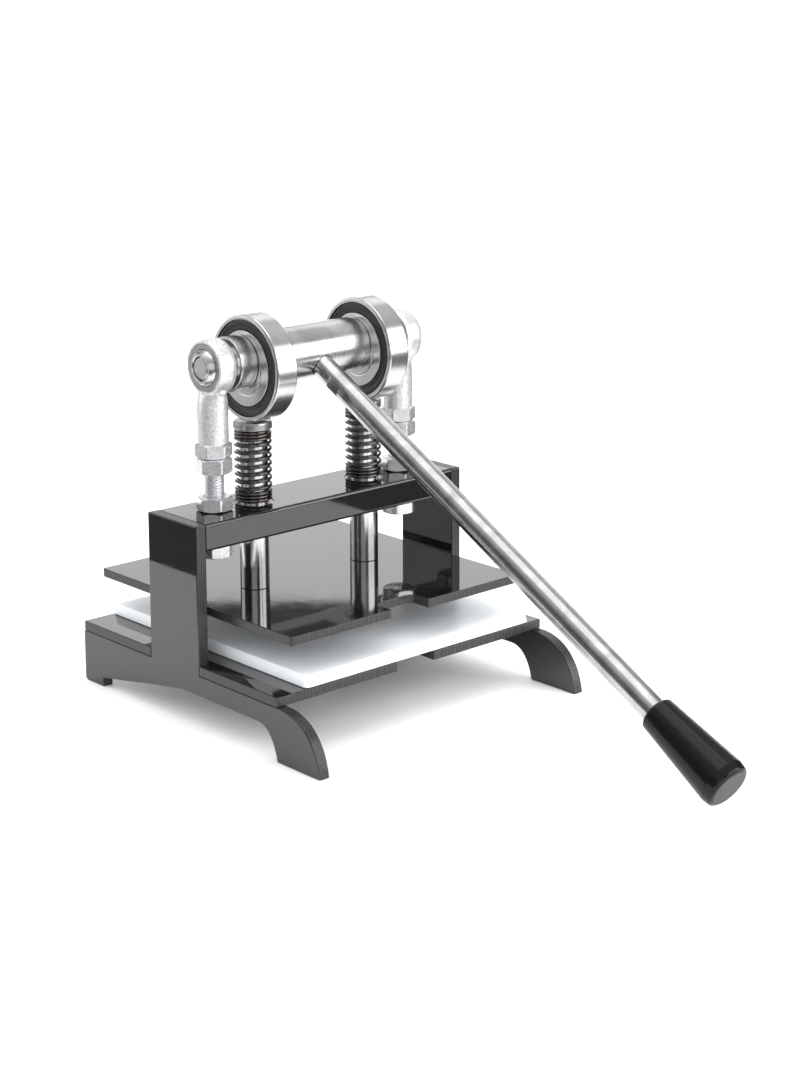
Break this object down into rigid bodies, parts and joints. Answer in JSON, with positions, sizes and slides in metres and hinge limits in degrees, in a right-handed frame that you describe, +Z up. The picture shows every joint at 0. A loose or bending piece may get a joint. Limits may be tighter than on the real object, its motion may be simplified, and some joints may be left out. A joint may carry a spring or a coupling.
{
  "type": "hand-lever cam die-cutting press",
  "caption": "Tabletop hand-lever press: an eccentric shaft on rollers pushes a sprung pressure plate down on a cutting board in a welded plate frame.",
  "frame": {"origin": "middle of the whole press including its lever, on the bench plane under the feet", "axes": "+Z up, front of the press and the lever point towards -Y, +X to the right as seen from the front"},
  "size_m": [0.235, 0.4846, 0.2649],
  "materials": {
    "black_gloss_paint": "mirror gloss black paint",
    "board_plastic": "satin bluish-white polyethylene",
    "zinc_plate": "bright zinc plate, finely mottled",
    "bare_steel": "bare turned steel",
    "bright_steel": "ground and polished bar",
    "bearing_steel": "ground bearing rings",
    "seal_rubber": "moulded black seal",
    "spring_steel": "oiled dark spring wire",
    "grip_plastic": "glossy black moulding"
  },
  "bodies": {
    "frame": {"side_plate_left": "black_gloss_paint", "side_plate_right": "black_gloss_paint", "base_plate": "black_gloss_paint", "crossbeam": "black_gloss_paint", "base_weld_front_left": "black_gloss_paint", "base_weld_front_right": "black_gloss_paint", "base_weld_rear_left": "black_gloss_paint", "base_weld_rear_right": "black_gloss_paint", "beam_weld_left": "black_gloss_paint", "beam_weld_right": "black_gloss_paint", "guide_bush_left": "bare_steel", "guide_bush_right": "bare_steel", "stud_bolt_left": "zinc_plate", "stud_bolt_right": "zinc_plate", "bolt_washer_left": "zinc_plate", "bolt_washer_right": "zinc_plate", "beam_nut_left": "zinc_plate", "beam_nut_right": "zinc_plate", "jam_nut_left": "zinc_plate", "jam_nut_right": "zinc_plate", "rod_end_left": "zinc_plate", "rod_end_right": "zinc_plate", "rod_end_race_left": "bare_steel", "rod_end_race_right": "bare_steel"},
    "ram": {"pressure_plate": "black_gloss_paint", "guide_post_left": "bright_steel", "guide_post_right": "bright_steel", "plate_screw_left": "zinc_plate", "plate_screw_right": "zinc_plate", "spring_cap_left": "bare_steel", "spring_cap_right": "bare_steel", "return_spring_left": "spring_steel", "return_spring_right": "spring_steel"},
    "cam": {"cam_shaft": "bright_steel", "shaft_collar_left": "bright_steel", "shaft_collar_right": "bright_steel", "bearing_inner_ring_left": "bearing_steel", "bearing_inner_ring_right": "bearing_steel", "rod_end_ball_left": "bare_steel", "rod_end_ball_right": "bare_steel", "lever_rod": "bright_steel", "handle_grip": "grip_plastic"},
    "roller_left": {"bearing_outer_ring_left": "bearing_steel", "bearing_seal_outer_left": "seal_rubber", "bearing_seal_inner_left": "seal_rubber", "bearing_ball_cage_left": "bare_steel"},
    "roller_right": {"bearing_outer_ring_right": "bearing_steel", "bearing_seal_outer_right": "seal_rubber", "bearing_seal_inner_right": "seal_rubber", "bearing_ball_cage_right": "bare_steel"},
    "board": {"cutting_board": "board_plastic"}
  },
  "joints": [
    {"name": "lever_turn", "type": "hinge", "parent": "frame", "child": "cam", "pos_m": [0, 0.13626, 0.233], "axis": [-1, 0, 0], "range_deg": [0, 125]},
    {"name": "ram_slide", "type": "slide", "parent": "frame", "child": "ram", "axis": [0, 0, 1], "range_m": [0, 0.0079], "deforming": ["return_spring_left", "return_spring_right"]},
    {"name": "roller_left_spin", "type": "hinge", "parent": "cam", "child": "roller_left", "pos_m": [-0.049, 0.13371, 0.22893], "axis": [1, 0, 0], "continuous": true},
    {"name": "roller_right_spin", "type": "hinge", "parent": "cam", "child": "roller_right", "pos_m": [0.049, 0.13371, 0.22893], "axis": [1, 0, 0], "continuous": true},
    {"name": "board_slide", "type": "slide", "parent": "frame", "child": "board", "axis": [0, -1, 0], "range_m": [0, 0.1]}
  ],
  "couplings": [
    {"joint": "ram_slide", "follows": "lever_turn", "m_per_rad": 0.0036}
  ]
}
